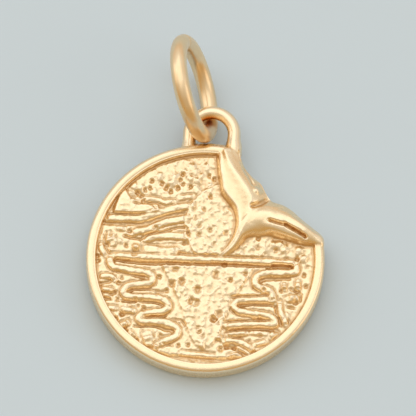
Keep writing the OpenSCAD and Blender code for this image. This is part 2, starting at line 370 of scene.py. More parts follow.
SEA_LINES = [
    (0.137, 0.16, [(-4.04, -0.07), (-1.95, -0.04), (0.06, -0.03), (2.06, 0.00), (4.00, 0.02)]),
    (0.140, 0.175, [(-4.25, -0.12), (-4.22, -0.40), (-4.08, -0.59), (-3.76, -0.65), (-3.20, -0.71),
                    (-2.66, -0.76), (-2.40, -0.86), (-2.30, -1.05), (-2.41, -1.25), (-2.84, -1.34),
                    (-3.24, -1.40), (-3.49, -1.54), (-3.59, -1.72), (-3.44, -1.89), (-2.94, -1.95),
                    (-2.34, -1.93), (-1.89, -1.97), (-1.65, -2.08), (-1.51, -2.25), (-1.60, -2.41),
                    (-1.85, -2.56), (-2.34, -2.64), (-2.69, -2.76), (-2.83, -2.88), (-2.76, -3.01),
                    (-2.45, -3.06), (-1.95, -3.03), (-1.58, -3.07), (-1.19, -3.20), (-1.04, -3.43),
                    (-1.18, -3.67), (-1.49, -3.85), (-1.87, -4.05)]),
    (0.107, 0.13, [(-4.54, -1.02), (-4.15, -1.04), (-3.98, -1.18)]),
    (0.131, 0.14, [(-4.59, -1.65), (-4.10, -1.67)]),
    (0.101, 0.12, [(-4.25, -2.49), (-3.84, -2.50)]),
    (0.139, 0.15, [(-3.54, -2.54), (-3.30, -2.57), (-3.07, -2.58)]),
    (0.157, 0.16, [(-3.77, -3.39), (-3.54, -3.27), (-3.33, -3.13)]),
    (0.090, 0.12, [(-3.18, -3.60), (-3.08, -3.71)]),
    (0.110, 0.24, [(-2.40, -3.65), (-2.31, -3.97)]),
    (0.112, 0.13, [(-1.97, -4.07), (-2.01, -4.25)]),
    (0.147, 0.17, [(4.04, -0.03), (4.10, -0.23), (4.04, -0.40), (3.55, -0.47), (2.98, -0.49),
                   (2.55, -0.56), (2.33, -0.71), (2.27, -0.92), (2.36, -1.13), (2.63, -1.25),
                   (2.93, -1.32), (3.06, -1.49), (3.10, -1.73)]),
    (0.151, 0.17, [(2.96, -1.75), (2.30, -1.77), (1.67, -1.85), (1.41, -2.02), (1.41, -2.18),
                   (1.63, -2.35), (2.11, -2.42), (2.64, -2.46), (2.99, -2.51), (3.22, -2.69),
                   (3.25, -2.85), (3.02, -2.89), (2.48, -2.89), (1.10, -3.04)]),
    (0.134, 0.13, [(1.16, -3.46), (1.62, -3.39), (1.99, -3.33)]),
    (0.087, 0.12, [(2.28, -3.30), (2.89, -3.34)]),
    (0.125, 0.16, [(3.05, -3.48), (3.28, -3.29)]),
    (0.138, 0.15, [(1.04, -3.75), (1.47, -3.72), (1.87, -3.85), (2.23, -4.03)]),
    (0.108, 0.13, [(2.41, -3.85), (2.90, -3.68)]),
    (0.136, 0.14, [(3.42, -1.88), (3.47, -2.30), (3.66, -2.66), (3.73, -2.85)]),
    (0.151, 0.18, [(3.80, -1.65), (4.10, -1.62)]),
    (0.120, 0.14, [(3.59, -1.01), (3.58, -1.23)]),
    (0.123, 0.14, [(4.18, -0.84), (4.19, -1.13)]),
    (0.097, 0.13, [(1.35, -4.45), (1.73, -4.37)]),
    (0.037, 0.12, [(-0.83, -4.42), (0.57, -4.50)]),
]
CUT_LINES = [
    (0.170, 0.13, [(-4.03, -0.23), (-3.00, -0.32), (-2.09, -0.31), (-1.21, -0.27), (-0.67, -0.28)]),
    (0.135, 0.12, [(-0.49, -0.27), (0.54, -0.20), (1.90, -0.20), (2.98, -0.20)]),
    (0.250, 0.14, [(2.94, -0.18), (3.34, -0.13), (3.87, -0.15)]),
    (0.072, 0.12, [(-4.81, 1.44), (-4.39, 1.42), (-3.63, 1.44), (-2.97, 1.45), (-2.52, 1.60),
                   (-2.02, 1.83), (-1.39, 2.01), (-0.88, 2.13)]),
    (0.120, 0.11, [(-3.68, 0.90), (-3.42, 0.83), (-3.08, 0.79), (-2.86, 0.84), (-2.52, 1.03),
                   (-2.00, 1.18), (-1.50, 1.35), (-1.05, 1.44), (-0.87, 1.33), (-0.82, 1.06)]),
    (0.059, 0.10, [(-2.55, 0.57), (-1.75, 0.63), (-1.17, 0.67), (-0.74, 0.68)]),
    (0.059, 0.10, [(-1.11, 0.21), (-0.70, 0.21)]),
    (0.052, 0.09, [(-0.26, 0.17), (0.43, 0.21), (0.85, 0.25)]),
    (0.033, 0.08, [(-4.06, 1.89), (-3.49, 1.91), (-3.01, 1.91), (-2.53, 2.09)]),
    (0.110, 0.11, [(-3.27, 2.44), (-2.92, 2.45), (-2.50, 2.41), (-2.34, 2.25)]),
    (0.042, 0.09, [(-1.30, 2.62), (-0.72, 2.67)]),
    (0.078, 0.10, [(-4.46, 0.98), (-4.55, 0.66), (-4.45, 0.32), (-4.27, 0.05)]),
    (0.074, 0.10, [(-4.10, -0.78), (-3.76, -0.79), (-3.48, -0.82)]),
    (0.068, 0.13, [(-3.18, -0.97), (-2.65, -0.97)]),
    (0.087, 0.11, [(-4.73, -1.41), (-4.15, -1.27)]),
    (0.155, 0.14, [(-4.50, -2.06), (-4.07, -2.06)]),
    (0.089, 0.12, [(-3.34, -1.67), (-2.84, -1.55), (-2.43, -1.52), (-2.02, -1.62), (-1.73, -1.62)]),
    (0.102, 0.11, [(-3.69, -2.13), (-3.00, -2.15)]),
    (0.073, 0.13, [(-2.75, -2.09), (-2.16, -2.13), (-1.81, -2.23)]),
    (0.140, 0.11, [(-2.56, -2.82), (-2.03, -2.78), (-1.63, -2.74)]),
    (0.087, 0.11, [(-3.07, -3.28), (-2.55, -3.27), (-2.08, -3.24), (-1.68, -3.37), (-1.29, -3.44)]),
    (0.086, 0.10, [(-1.25, -2.86), (-0.93, -2.91), (-0.73, -3.14)]),
    (0.067, 0.12, [(-1.72, -4.03), (-1.17, -4.10)]),
    (0.030, 0.10, [(-0.71, -4.26), (0.69, -4.33)]),
    (0.100, 0.19, [(-2.02, -4.52), (-1.39, -4.61), (0.19, -4.68), (1.10, -4.64), (1.63, -4.52)]),
    (0.121, 0.14, [(1.00, -4.08), (1.36, -4.04), (1.69, -4.18), (2.06, -4.38)]),
    (0.098, 0.11, [(1.25, -1.73), (1.61, -1.65), (2.30, -1.60), (2.81, -1.48)]),
    (0.104, 0.12, [(1.60, -2.07), (2.22, -2.00), (2.80, -1.97), (3.20, -2.04), (3.29, -2.37)]),
    (0.110, 0.10, [(1.10, -2.87), (2.02, -2.76), (2.84, -2.73)]),
    (0.107, 0.11, [(1.06, -3.34), (1.60, -3.23), (2.28, -3.13), (2.97, -3.12), (3.45, -3.23)]),
    (0.094, 0.09, [(3.40, -2.56), (3.52, -2.97)]),
    (0.091, 0.09, [(1.32, -3.62), (1.85, -3.60)]),
    (0.100, 0.12, [(2.49, -0.91), (2.77, -0.81), (3.26, -0.76), (3.88, -0.73)]),
    (0.103, 0.10, [(3.97, -1.26), (4.25, -1.33), (4.34, -1.45), (4.33, -1.76)]),
    (0.124, 0.13, [(3.77, -2.01), (4.11, -2.07)]),
    (0.085, 0.12, [(3.66, -3.37), (3.37, -3.72), (2.92, -4.06), (2.38, -4.30)]),
]
PUFFS = [
    (0.083, 0.26, [(-3.34, 3.19), (-3.07, 3.21), (-2.22, 3.75), (-1.55, 3.79), (-0.83, 4.22),
                   (-3.85, 2.55), (-1.63, 3.51), (-1.01, 3.97), (-0.68, 4.05), (-0.55, 3.62),
                   (-3.98, 0.64), (2.86, -3.39), (-2.28, -3.82), (-3.44, -2.39), (3.70, -2.45)]),
    (0.067, 0.22, [(-0.86, -3.39), (-0.61, 3.31), (-0.84, 3.74), (-0.35, 3.86), (-0.52, 3.18),
                   (0.04, 3.45), (-0.14, 4.30), (-2.47, 3.04), (-3.51, 2.94)]),
    (0.143, 0.20, [(-3.12, 0.41), (0.80, -3.62)]),
    (0.125, 0.32, [(0.02, -3.90)]),
]
PITS = [
    (0.230, 0.19, [(0.54, -2.80)]),
    (0.127, 0.13, [(-2.65, 3.18), (-2.98, 2.79), (-1.90, 3.22), (-1.20, 3.90), (-1.19, 3.45),
                   (-0.83, 3.35), (-2.11, 3.43), (-2.57, 3.52), (-3.18, 2.93), (-1.37, 3.27),
                   (4.53, -1.04), (0.87, -0.22), (-1.70, 3.08), (-2.90, 2.60)]),
    (0.135, 0.19, [(-1.42, -1.24), (-0.29, -1.46), (-0.52, -1.99), (-0.30, -2.06), (0.70, -2.55),
                   (0.51, -0.72), (-1.33, -0.56), (-0.98, -1.13)]),
    (0.112, 0.13, [(-3.18, 0.03), (-3.44, 1.13), (-3.94, -1.76), (-2.63, -2.43), (-3.84, -2.96),
                   (-2.28, -4.25), (-2.15, -4.59), (-2.86, -3.94), (-3.44, -3.54), (0.88, -4.15),
                   (4.10, 0.23), (3.45, -1.32), (2.38, -4.24), (3.61, -3.50), (-4.81, -0.11),
                   (-4.78, -0.32), (-3.56, 0.44), (-3.68, -1.07), (-1.64, -1.57), (3.88, -1.19),
                   (4.42, -0.50), (0.10, 2.90), (-3.56, -2.77), (-0.56, -4.02), (-0.98, -4.09),
                   (-3.80, -1.32), (-4.40, 0.44), (2.68, -1.32), (-2.84, 3.09), (-4.28, 0.95),
                   (-4.10, -1.88), (-3.80, -2.07), (-2.90, -2.32), (-0.02, 3.90), (-0.98, 0.70),
                   (1.84, -0.63), (-0.08, -3.39), (-2.30, 1.32), (-2.00, -0.94), (2.56, -2.64),
                   (1.14, -3.97), (1.50, -4.02), (2.34, 1.04), (-3.02, -2.07), (1.18, -0.94),
                   (-1.82, -3.65), (-1.28, 3.65), (4.12, -1.82), (0.22, 3.78), (-1.16, 0.25),
                   (0.74, -2.96)]),
    (0.073, 0.13, [(2.33, 0.62), (3.14, 0.54), (3.63, 0.23), (4.57, -0.12), (-0.96, 0.26),
                   (0.15, 1.33), (-0.35, 1.12), (-0.34, 1.53), (-0.15, 2.29), (-0.55, 1.86),
                   (0.86, 1.25), (0.36, 0.71), (-0.18, -3.22), (0.07, -3.60), (2.15, -3.71),
                   (2.61, -3.42)]),
]
FOAM_PUFFS = [
    (0.093, 0.25, [(1.94, 0.67), (2.70, 0.60), (3.26, 0.83), (3.51, 0.64), (4.15, 0.60),
                   (4.37, 0.24), (2.26, 0.41), (1.54, 0.50), (3.00, 0.81)]),
]


def guide(name, rows, joined=True):
    """A helper object that holds lines, or loose points, with their rise and their reach."""
    points, edges, rise, reach = [], [], [], []
    for height, half_width, stops in rows:
        path, share = np.array(stops), np.ones(len(stops))
        if joined:
            path = smooth(stops, FINE)
            along = np.linspace(0, 1, len(path))
            from_end = np.minimum(along, 1 - along) * len(path) * FINE
            share = np.clip(END_SHARE + from_end / half_width, 0, 1)
            edges += [(k, k + 1) for k in range(len(points), len(points) + len(path) - 1)]
        points += [(x, y, 0) for x, y in path]
        rise += list(height * share)
        reach += [half_width] * len(path)
    made = linked_mesh(name, points, edges)
    give(made, "rise", rise)
    give(made, "reach", reach)
    return made


line_guide = guide("line_guide", SKY_LINES + SEA_LINES)
cut_guide = guide("cut_guide", CUT_LINES)
puff_guide = guide("puff_guide", PUFFS + FOAM_PUFFS, joined=False)
pit_guide = guide("pit_guide", PITS, joined=False)

# Medallion: broad forms
# The sun behind the tail, its path on the water and the bank of cloud stand up as low flat
# steps. Sun and path were stippled with a round punch, and the bank was left plain.

SUN_X, SUN_Y, SUN_R = 1.0, 1.6, 1.95
HORIZON = 0.25
PATH_X = 0.1
PATH_ROWS = [(-0.35, 2.0), (-1.3, 1.45), (-2.3, 1.0), (-3.4, 0.65), (-4.0, 0.3)]
CLOUD_BANK = [(-4.15, 2.0), (-2.75, 2.02), (-2.2, 2.15), (-2.3, 2.35), (-3.1, 2.46), (-3.5, 2.6),
              (-3.75, 3.0), (-3.95, 2.75)]
sun_turn = np.linspace(0, 2 * math.pi, 72, endpoint=False)
sun = [(SUN_X + SUN_R * math.cos(a), max(HORIZON, SUN_Y + SUN_R * math.sin(a))) for a in sun_turn]
path = [(PATH_X - w, y) for y, w in PATH_ROWS] + [(PATH_X + w, y) for y, w in reversed(PATH_ROWS)]
flat_steps = [(0.1, 1.0, sun), (0.09, 1.0, path), (0.17, 0.12, CLOUD_BANK)]
points, faces, rise, stipple = [], [], [], []
for height, share, border in flat_steps:
    faces.append(tuple(range(len(points), len(points) + len(border))))
    points += [(x, y, 0) for x, y in border]
    rise += [height] * len(border)
    stipple += [share] * len(border)
step_guide = linked_mesh("step_guide", points, faces=faces)
give(step_guide, "rise", rise)
give(step_guide, "stipple", stipple)

# Medallion: whale's tail
# The tail rises from the water at the lower left of the notch, and its two flukes spread to the
# rim. Each row gives the foot, lip, crest and outer edge of one section across it, then heights.

LEFT_FLUKE = [
    (0.24, 4.95, 0.38, 5.02, 0.58, 5.10, 0.96, 5.34, 1.06, 1.12, 0.95),
    (0.29, 4.50, 0.45, 4.52, 0.80, 4.55, 1.42, 4.66, 1.18, 1.28, 0.95),
    (0.35, 4.00, 0.52, 4.03, 1.06, 4.08, 1.82, 4.12, 1.23, 1.37, 0.95),
    (0.44, 3.52, 0.62, 3.60, 1.34, 3.68, 2.16, 3.76, 1.25, 1.42, 0.95),
    (0.52, 3.08, 0.71, 3.17, 1.62, 3.28, 2.44, 3.38, 1.26, 1.45, 0.95),
    (0.78, 2.70, 0.97, 2.79, 1.82, 2.90, 2.60, 3.02, 1.27, 1.46, 0.96),
    (1.08, 2.36, 1.26, 2.43, 1.90, 2.52, 2.52, 2.68, 1.28, 1.43, 1.12),
    (1.20, 2.02, 1.38, 2.04, 1.86, 2.06, 2.40, 2.02, 1.28, 1.40, 1.20),
    (1.24, 1.58, 1.41, 1.56, 1.62, 1.44, 1.98, 1.16, 1.31, 1.34, 0.80),
    (1.14, 1.14, 1.29, 1.06, 1.43, 0.98, 1.72, 0.76, 1.22, 1.24, 0.80),
    (0.96, 0.74, 1.08, 0.66, 1.19, 0.58, 1.42, 0.42, 1.12, 1.13, 0.78),
    (0.72, 0.42, 0.80, 0.36, 0.88, 0.29, 1.06, 0.18, 1.00, 1.00, 0.76),
    (0.50, 0.20, 0.56, 0.15, 0.62, 0.10, 0.74, 0.02, 0.84, 0.84, 0.74),
]
RIGHT_FLUKE = [
    (1.50, 0.60, 1.40, 0.86, 1.44, 1.60, 1.90, 2.62, 1.18, 1.30, 1.16),
    (1.72, 0.92, 1.66, 1.20, 1.72, 1.92, 2.20, 2.74, 1.26, 1.38, 1.10),
    (2.02, 1.07, 2.00, 1.40, 2.12, 2.06, 2.52, 2.90, 1.29, 1.42, 0.96),
    (2.40, 1.12, 2.39, 1.55, 2.55, 2.13, 2.82, 2.86, 1.32, 1.44, 0.95),
    (2.86, 1.17, 2.87, 1.48, 3.02, 2.06, 3.27, 2.74, 1.37, 1.44, 0.95),
    (3.32, 1.11, 3.34, 1.34, 3.55, 1.97, 3.74, 2.48, 1.33, 1.42, 0.95),
    (3.76, 1.00, 3.80, 1.19, 4.00, 1.76, 4.19, 2.14, 1.30, 1.40, 0.95),
    (4.20, 0.90, 4.24, 1.05, 4.42, 1.50, 4.57, 1.84, 1.23, 1.34, 0.95),
    (4.60, 0.86, 4.63, 0.96, 4.76, 1.28, 4.92, 1.56, 1.08, 1.21, 0.95),
    (4.95, 0.84, 4.97, 0.91, 5.03, 1.08, 5.22, 1.30, 1.05, 1.13, 0.95),
    (5.25, 0.80, 5.27, 0.86, 5.33, 1.00, 5.50, 1.15, 0.98, 1.02, 0.93),
]
# The tail's own marks: depth, half width, points. A depth under 0 is a bump.
TAIL_CUTS = [
    (0.22, 0.11, [(2.76, 1.80), (3.08, 1.72), (3.42, 1.65)]),
    (0.34, 0.12, [(3.42, 1.68), (3.85, 1.46), (4.2, 1.29), (4.42, 1.16)]),
    (0.14, 0.17, [(2.62, 2.88), (2.32, 2.6), (2.0, 2.42)]),
    (0.06, 0.11, [(1.5, 4.29), (1.75, 3.87), (1.96, 3.45)]),
]
TAIL_PITS = [
    (0.10, 0.17, [(1.98, 2.44)]),
    (0.05, 0.13, [(3.86, 1.43), (4.2, 1.27)]),
    (-0.14, 0.26, [(2.18, 3.21)]),
]
UNDER = 0.35
SECTION_PARTS = 6


def section_across(row, belly):
    """One section of the tail, from below the field at its foot, over lip and crest, to the edge."""
    foot, lip, crest, edge = (np.array(row[k : k + 2]) for k in (0, 2, 4, 6))
    lip_h, crest_h, edge_h = row[8:]
    # Each stop: its place, between or just beyond two of the four, and its height.
    stops = [
        (foot * 1.3 - lip * 0.3, FIELD_H - UNDER),
        (foot, FIELD_H),
        (foot * 0.55 + lip * 0.45, FIELD_H * 0.38 + lip_h * 0.62),
        (lip, lip_h),
        (lip * 0.55 + crest * 0.45, lip_h * 0.55 + crest_h * 0.45 + belly),
        (crest, crest_h),
        (crest * 0.62 + edge * 0.38, crest_h * 0.74 + edge_h * 0.26),
        (crest * 0.25 + edge * 0.75, crest_h * 0.3 + edge_h * 0.7),
        (edge, edge_h),
        (edge * 1.25 - crest * 0.25, edge_h - 0.18),
    ]
    return [(*spot, z) for spot, z in stops]


def tail_guide(name, rows, belly):
    """A smooth sheet through the sections of one fluke."""
    across = [smooth(section_across(row, belly), parts=SECTION_PARTS) for row in rows]
    sheet_rows = np.stack([smooth(line, parts=SECTION_PARTS) for line in zip(*across)], 1)
    tall, wide = sheet_rows.shape[:2]
    faces = [(a * wide + b, a * wide + b + 1, (a + 1) * wide + b + 1, (a + 1) * wide + b)
             for a in range(tall - 1) for b in range(wide - 1)]
    return linked_mesh(name, [tuple(p) for p in sheet_rows.reshape(-1, 3)], faces=faces)


left_guide = tail_guide("left_fluke_guide", LEFT_FLUKE, -0.03)
right_guide = tail_guide("right_fluke_guide", RIGHT_FLUKE, 0.04)
tail_cut_guide = guide("tail_cut_guide", TAIL_CUTS)
tail_pit_guide = guide("tail_pit_guide", TAIL_PITS, joined=False)

# Medallion: embossing
# The casting takes front, back and edge in one pour. The blank's points are lifted to the
# height of what lies over them: field, stipple, lines, puffs, tail and the round-topped rim.

LINE_TOP, PUFF_TOP, RIM_TOP = 0.38, 1.1, 0.42
rim_turn = np.radians(np.arange(84, 372, 1.0))
rim_mid = disc_r - bead
rim_points = [(rim_mid * math.cos(a), rim_mid * math.sin(a), 0) for a in rim_turn]


def linked_line(name, points, closed=False):
    """An object of one line through the points."""
    count = len(points)
    edges = [(k, (k + 1) % count) for k in range(count if closed else count - 1)]
    return linked_mesh(name, points, edges)


guides = {
    "Outline": linked_line("outline_guide", [(x, y, 0) for x, y in outline], closed=True),
    "Rim": linked_line("rim_guide", rim_points), "Lines": line_guide, "Cuts": cut_guide,
    "Puffs": puff_guide, "Pits": pit_guide, "Steps": step_guide, "Left fluke": left_guide,
    "Right fluke": right_guide, "Tail cuts": tail_cut_guide, "Tail pits": tail_pit_guide,
}
sizes = {
    "Field height": FIELD_H, "Stipple": 0.042, "Grain": 0.022, "Furrow depth": 0.04,
    "Moat inset": 0.48, "Moat width": 0.11, "Moat depth": 0.03, "Tail waver": 0.035,
    "Rim half width": bead, "Rim height": RIM_H, "Rim crown": 0.15, "Rim waver": 0.025,
    "Edge wear": 0.09, "Top wear": 0.08, "Wall foot": 0.19, "Hammering": 0.075,
    "Dent depth": 0.07, "Back share": 0.42,
}


def new_tree(name, numbers, objects):
    """A geometry tree with named inputs, and the sockets of those inputs by name."""
    tree = bpy.data.node_groups.new(name, "GeometryNodeTree")
    face = tree.interface
    face.new_socket("Geometry", in_out="INPUT", socket_type="NodeSocketGeometry")
    for key in objects:
        face.new_socket(key, in_out="INPUT", socket_type="NodeSocketObject")
    for key in numbers:
        face.new_socket(key, in_out="INPUT", socket_type="NodeSocketFloat")
    face.new_socket("Finish", in_out="INPUT", socket_type="NodeSocketMaterial")
    face.new_socket("Geometry", in_out="OUTPUT", socket_type="NodeSocketGeometry")
    graph = Graph(tree)
    entry = tree.nodes.new("NodeGroupInput")
    return graph, {s.name: Socket(graph, s) for s in entry.outputs if s.name}


def close_tree(graph, shape, finish):
    """Ends a geometry tree with realized instances, smooth shading and the finish."""
    shape = graph.node("GeometryNodeRealizeInstances", None, {0: shape})
    shape = graph.node("GeometryNodeSetShadeSmooth", None, {0: shape})
    shape = graph.node("GeometryNodeSetMaterial", None, {0: shape, "Material": finish})
    graph.node("NodeGroupOutput", None, {0: shape})


def bake(piece, tree, values):
    """Runs a geometry tree on a piece and leaves its result as the piece's plain mesh."""
    modifier = piece.modifiers.new(tree.name, "NODES")
    modifier.node_group = tree
    for item in tree.interface.items_tree:
        if item.in_out == "INPUT" and item.name in values:
            modifier[item.identifier] = values[item.name]
    piece.update_tag()
    seen = piece.evaluated_get(bpy.context.evaluated_depsgraph_get())
    mesh = bpy.data.meshes.new_from_object(seen)
    piece.modifiers.remove(modifier)
    piece.data = mesh


def named(graph, name):
    return graph.node("GeometryNodeInputNamedAttribute", {"data_type": "FLOAT"}, {"Name": name})


def shape_of(graph, holder):
    return graph.node("GeometryNodeObjectInfo", None, {"Object": holder}, output="Geometry")


def distance_to(graph, shape, spot, element):
    inputs = {"Geometry": shape, "Sample Position": spot}
    return graph.node("GeometryNodeProximity", {"target_element": element}, inputs, output="Distance")


def nearest_mark(graph, holder, spot, element, wobble):
    """The rise of the nearest line or point, and the distance to it as a share of its reach."""
    shape = shape_of(graph, holder)
    inputs = {"Geometry": shape, "Sample Position": spot}
    nearest = graph.node("GeometryNodeSampleNearest", {"domain": "POINT"}, inputs)
    settings = {"data_type": "FLOAT", "domain": "POINT"}
    rise, reach = (graph.node("GeometryNodeSampleIndex", settings,
                              {"Geometry": shape, "Value": named(graph, key), "Index": nearest})
                   for key in ("rise", "reach"))
    return rise, (distance_to(graph, shape, spot, element) + wobble) / reach


def rounded(share, power):
    """A section with a round top: 1 over the mark, and 0 from its reach on."""
    return (1 - share * share).math("MAXIMUM", 0.0).math("POWER", power)


def round_edge(gap, reach):
    """A quarter circle: 0 at the outline, and 1 from the reach on."""
    off = 1 - (gap / reach).math("MINIMUM", 1.0)
    return (1 - off * off).math("MAXIMUM", 0.0).math("SQRT")


def uneven(graph, spot, scale, detail, shift=0.0):
    """Noise on both sides of 0, another one for each shift."""
    moved = graph.vector("ADD", spot, (shift, shift * 2, shift * 3))
    return graph.noise(moved, scale, detail, Roughness=0.55) - 0.5


def domes(graph, spot, scale, smoothness, size):
    """Round bumps set close and a little out of line: 1 at the top, and 0 from their size on."""
    bend = graph.vector("SUBTRACT", graph.noise(spot, 2.6, 1.0, "Color"), (0.5, 0.5, 0.5))
    bend = graph.node("ShaderNodeVectorMath", {"operation": "SCALE"}, {0: bend, "Scale": 0.22})
    settings = {"voronoi_dimensions": "2D", "feature": "SMOOTH_F1"}
    inputs = {"Vector": graph.vector("ADD", spot, bend), "Scale": scale, "Smoothness": smoothness,
              "Randomness": 0.9}
    away = graph.node("ShaderNodeTexVoronoi", settings, inputs, output="Distance")
    return 1 - graph.fade(away, 0.0, size)


def field_height(graph, given, spot, gap, soft):
    """Sky and sea: flat steps, lines and puffs stand up, and cuts and pits go down."""
    # Every mark's edge wanders a little, as it does where a hand guides the tool.
    wobble = uneven(graph, spot, 2.2, 2.0, 3.0) * 0.09 + uneven(graph, spot, 7.0, 1.0, 13.0) * 0.05
    steps = shape_of(graph, given["Steps"])
    off_step = distance_to(graph, steps, spot, "FACES")
    on_step = 1 - graph.fade(off_step + wobble * 0.6, 0.0, 0.13)
    rise, stipple = (graph.node("GeometryNodeSampleNearestSurface", {"data_type": "FLOAT"},
                                {"Mesh": steps, "Value": named(graph, key), "Sample Position": spot})
                     for key in ("rise", "stipple"))
    plateau = on_step * rise
    pebbles = (domes(graph, spot, 3.5, 0.35, 0.62) - 0.45) * given["Stipple"]
    pebbles = pebbles * (0.35 + on_step * stipple * 0.65)
    coarse, fine = uneven(graph, spot, 2.9, 2.0, 7.0), uneven(graph, spot, 5.5, 3.0)
    grain = (fine * 3 + coarse * 4) * given["Grain"]

    # A raised line has a shallow furrow along both of its sides, where the tool left it.
    rise, share = nearest_mark(graph, given["Lines"], spot, "EDGES", wobble)
    lines = rise * rounded(share, LINE_TOP)
    beside = (1 - (share - 1.25).math("ABSOLUTE") / 0.4).math("MAXIMUM", 0.0)
    rise, share = nearest_mark(graph, given["Cuts"], spot, "EDGES", wobble)
    cuts = rise * (1 - graph.fade(share, 0.0, 1.0)) + beside * given["Furrow depth"]
    rise, share = nearest_mark(graph, given["Puffs"], spot, "POINTS", wobble * 1.4)
    puffs = rise * rounded(share, PUFF_TOP) * 1.1
    rise, share = nearest_mark(graph, given["Pits"], spot, "POINTS", wobble * 1.3)
    pits = rise * (1 - graph.fade(share, 0.0, 1.3))
    off_moat = (gap - given["Moat inset"]).math("ABSOLUTE")
    moat = (1 - graph.fade(off_moat, 0.0, given["Moat width"])) * given["Moat depth"] * (1 - soft)

    raised = lines.math("SMOOTH_MAX", puffs, 0.05).math("SMOOTH_MAX", plateau, 0.04)
    inside = graph.fade(gap, 0.35, 0.62)
    return given["Field height"] + raised + (pebbles + grain) * inside - cuts - pits - moat


def fluke_height(graph, spot, holder):
    """The height of one fluke's sheet over spot, and -1 beside it."""
    inputs = {"Target Geometry": shape_of(graph, holder),
              "Source Position": graph.vector("ADD", spot, (0.0, 0.0, 5.0)),
              "Ray Direction": (0.0, 0.0, -1.0), "Ray Length": 10.0}
    hit = graph.node("GeometryNodeRaycast", None, inputs)
    return hit.also("Hit Position").part("Z") * hit + (hit - 1)


def tail_height(graph, given, spot):
    """The whale's tail with its own marks, and how far a spot is on the tail, from 0 to 1."""
    left, right = (fluke_height(graph, spot, given[key]) for key in ("Left fluke", "Right fluke"))
    tail = left.math("SMOOTH_MAX", right, 0.1)
    on_tail = graph.fade(tail, 0.84, 1.02)
    rise, share = nearest_mark(graph, given["Tail cuts"], spot, "EDGES", 0.0)
    marks = rise * (1 - graph.fade(share, 0.1, 1.0))
    rise, share = nearest_mark(graph, given["Tail pits"], spot, "POINTS", 0.0)
    marks = marks + rise * (1 - graph.fade(share, 0.0, 1.0))
    waver = uneven(graph, spot, 3.0, 3.0, 5.0) * given["Tail waver"]
    return tail + waver - marks * on_tail, on_tail


def rim_height(graph, given, spot, gap, soft):
    """The round-topped rim, which sinks out of sight beyond its two ends."""
    across = (gap - given["Rim half width"]) / given["Rim half width"]
    crown = rounded(across.math("MINIMUM", 0.6), RIM_TOP) * given["Rim crown"]
    drop = given["Rim crown"] + given["Rim height"] - given["Field height"] + 0.12
    rim = given["Rim height"] + crown - graph.fade(across - soft * 0.3, 0.78 - soft * 0.35, 1.1) * drop
    off_rim = distance_to(graph, shape_of(graph, given["Rim"]), spot, "EDGES")
    waver = uneven(graph, spot, 1.6, 1.0, 11.0) * given["Rim waver"]
    return rim - graph.fade(off_rim, 0.36, 0.62) * 2 + waver


def back_height(graph, given, spot, gap, tail, on_tail):
    """The hammered back face. The tail stands up on it too, at a share of its height in front."""
    hammer = uneven(graph, spot, 3.4, 2.5, 17.0).math("ABSOLUTE") * 1.5
    hammer = hammer + (1 - domes(graph, spot, 3.1, 0.5, 0.75)) * 0.7
    dents = graph.fade(uneven(graph, spot, 1.9, 1.0, 23.0), 0.12, 0.25)
    inside = graph.fade(gap, 0.12, 0.5)
    behind = hammer * given["Hammering"] + dents * given["Dent depth"]
    behind = behind * inside * (1 - on_tail * 0.6)
    behind = behind - (tail - given["Field height"]).math("MAXIMUM", 0.0) * given["Back share"]
    return given["Wall foot"] + (behind - given["Wall foot"]) * round_edge(gap, BACK_BEVEL)


def relief_tree():
    """Lifts each point of the blank. A SMOOTH_MAX ends with the width over which two forms merge."""
    graph, given = new_tree("charm_relief", sizes, guides)
    spot = graph.node("GeometryNodeInputPosition")
    gap = distance_to(graph, shape_of(graph, given["Outline"]), spot, "EDGES")
    # Towards the right the rim's inner side runs out softly into the field.
    soft = graph.fade(spot.part("X"), 2.2, 4.0)
    tail, on_tail = tail_height(graph, given, spot)
    front = field_height(graph, given, spot, gap, soft).math("SMOOTH_MAX", tail, 0.05)
    front = front.math("SMOOTH_MAX", rim_height(graph, given, spot, gap, soft), 0.04 + soft * 0.14)
    # The edge is worn round, and more so on the upper half.
    wear = given["Edge wear"] + graph.fade(spot.part("Y"), -3.0, 1.5) * given["Top wear"]
    front = given["Rim height"] + (front - given["Rim height"]) * round_edge(gap, wear)
    behind = back_height(graph, given, spot, gap, tail, on_tail)

    side = named(graph, "side")
    wall = given["Wall foot"] + (given["Rim height"] - given["Wall foot"]) * ((side + 1) / 2)
    on_front, on_back = graph.fade(side, 0.98, 0.99), 1 - graph.fade(side, -0.99, -0.98)
    height = front * on_front + behind * on_back + wall * (1 - on_front - on_back)
    lifted = graph.node("ShaderNodeCombineXYZ", None, {"Z": height})
    shape = graph.node("GeometryNodeSetPosition", None, {0: given["Geometry"], "Offset": lifted})
    close_tree(graph, shape, given["Finish"])
    return graph.tree


# Medallion: gold finish
# Cast brass, tumbled and plated with pale gold. The lines and the rim are rubbed bright. The hollows
# are rougher and painted darker and browner as painted shade, and the surface has a fine grain.

BRIGHT_GOLD = colour(0.96, 0.785, 0.54)
MAIN_GOLD = colour(0.94, 0.75, 0.475)
# Painted shade: the darker, browner gold that the hollows are coloured with.
HOLLOW_SHADE_GOLD = colour(0.69, 0.465, 0.24)
ROSY_GOLD = colour(0.97, 0.735, 0.50)
# Each place of painted shade between ring and loop: its middle, where it starts to thin out and where
# it ends (mm), tint, share.
RING_LOOP_SHADE = [
    ((-0.62, 3.75, 0.9), 0.4, 1.05, colour(0.82, 0.42, 0.08), 0.85),
    ((-0.17, 4.2, 1.1), 0.28, 0.6, colour(0.60, 0.24, 0.03), 0.95),
]


def with_painted_shade(graph, tone, place):
    """Painted shade: redder, darker gold about the place where ring and loop shade each other, darkest
    where they meet.
    """
    for middle, near, far, tint, most in RING_LOOP_SHADE:
        away = graph.vector("DISTANCE", place, tuple(v * MM for v in middle)).also("Value")
        share = (1 - graph.fade(away, near * MM, far * MM)) * most
        tone = graph.mix(share, tone, tint)
    return tone


